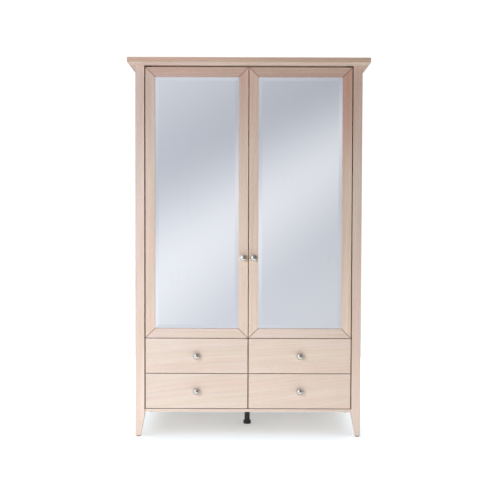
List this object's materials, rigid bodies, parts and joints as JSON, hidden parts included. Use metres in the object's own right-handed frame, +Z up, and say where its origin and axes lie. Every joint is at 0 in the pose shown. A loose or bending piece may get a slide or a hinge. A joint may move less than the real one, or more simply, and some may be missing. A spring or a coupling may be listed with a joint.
{
  "type": "armoire",
  "caption": "Free-standing wardrobe with mirrored double doors over a block of drawers, on tapered corner posts under an overhanging cornice.",
  "frame": {"origin": "on the floor, in the middle of the overall box", "axes": "+X to the viewer's right, +Y to the back, +Z up; the doors face -Y"},
  "size_m": [1.276, 0.638, 2.009],
  "materials": {
    "limed_oak": "whitewashed open-grain oak, satin lacquer",
    "box_wood": "planed birch, clear lacquer",
    "backing_board": "thin fibreboard with a pale oak foil",
    "mirror": "silvered glass, bevelled edge",
    "satin_nickel": "satin nickel plate",
    "steel": "zinc plated steel",
    "black_plastic": "moulded black polypropylene",
    "white_plastic": "moulded white plastic"
  },
  "bodies": {
    "carcass": {"front_left_leg": "limed_oak", "front_right_leg": "limed_oak", "rear_left_leg": "limed_oak", "rear_right_leg": "limed_oak", "leg_glides": "black_plastic", "left_side_panel": "limed_oak", "right_side_panel": "limed_oak", "cornice_board": "limed_oak", "crown_front_moulding": "limed_oak", "crown_side_mouldings": "limed_oak", "top_panel": "limed_oak", "deck_board": "limed_oak", "bottom_board": "limed_oak", "back_panel": "backing_board", "drawer_partition": "limed_oak", "hat_shelf": "limed_oak", "shelf_pins": "steel", "hanging_rail": "steel", "rail_sockets": "steel", "support_leg": "black_plastic", "door_pivots": "steel", "magnetic_catches": "white_plastic", "drawer_runners": "box_wood"},
    "levelling_foot": {"support_foot": "black_plastic"},
    "left_door": {"left_door_hinge_stile": "limed_oak", "left_door_lock_stile": "limed_oak", "left_door_top_rail": "limed_oak", "left_door_bottom_rail": "limed_oak", "left_door_mirror": "mirror", "left_door_backing": "backing_board", "left_door_knob": "satin_nickel", "left_door_strike": "steel"},
    "upper_left_drawer": {"upper_left_drawer_front": "limed_oak", "upper_left_drawer_sides": "box_wood", "upper_left_drawer_bottom": "backing_board", "upper_left_drawer_back": "box_wood", "upper_left_drawer_knob": "satin_nickel"},
    "lower_left_drawer": {"lower_left_drawer_front": "limed_oak", "lower_left_drawer_sides": "box_wood", "lower_left_drawer_bottom": "backing_board", "lower_left_drawer_back": "box_wood", "lower_left_drawer_knob": "satin_nickel"},
    "right_door": {"right_door_hinge_stile": "limed_oak", "right_door_lock_stile": "limed_oak", "right_door_top_rail": "limed_oak", "right_door_bottom_rail": "limed_oak", "right_door_mirror": "mirror", "right_door_backing": "backing_board", "right_door_knob": "satin_nickel", "right_door_strike": "steel"},
    "upper_right_drawer": {"upper_right_drawer_front": "limed_oak", "upper_right_drawer_sides": "box_wood", "upper_right_drawer_bottom": "backing_board", "upper_right_drawer_back": "box_wood", "upper_right_drawer_knob": "satin_nickel"},
    "lower_right_drawer": {"lower_right_drawer_front": "limed_oak", "lower_right_drawer_sides": "box_wood", "lower_right_drawer_bottom": "backing_board", "lower_right_drawer_back": "box_wood", "lower_right_drawer_knob": "satin_nickel"}
  },
  "joints": [
    {"name": "left_door_hinge", "type": "hinge", "parent": "carcass", "child": "left_door", "pos_m": [-0.5355, -0.265, 1.248], "axis": [0, 0, -1], "range_deg": [0, 110]},
    {"name": "upper_left_drawer_slide", "type": "slide", "parent": "carcass", "child": "upper_left_drawer", "axis": [0, -1, 0], "range_m": [0, 0.36]},
    {"name": "lower_left_drawer_slide", "type": "slide", "parent": "carcass", "child": "lower_left_drawer", "axis": [0, -1, 0], "range_m": [0, 0.36]},
    {"name": "right_door_hinge", "type": "hinge", "parent": "carcass", "child": "right_door", "pos_m": [0.5355, -0.265, 1.248], "axis": [0, 0, 1], "range_deg": [0, 110]},
    {"name": "upper_right_drawer_slide", "type": "slide", "parent": "carcass", "child": "upper_right_drawer", "axis": [0, -1, 0], "range_m": [0, 0.36]},
    {"name": "lower_right_drawer_slide", "type": "slide", "parent": "carcass", "child": "lower_right_drawer", "axis": [0, -1, 0], "range_m": [0, 0.36]},
    {"name": "levelling_foot_slide", "type": "slide", "parent": "carcass", "child": "levelling_foot", "axis": [0, 0, -1], "range_m": [0, 0.015]}
  ]
}
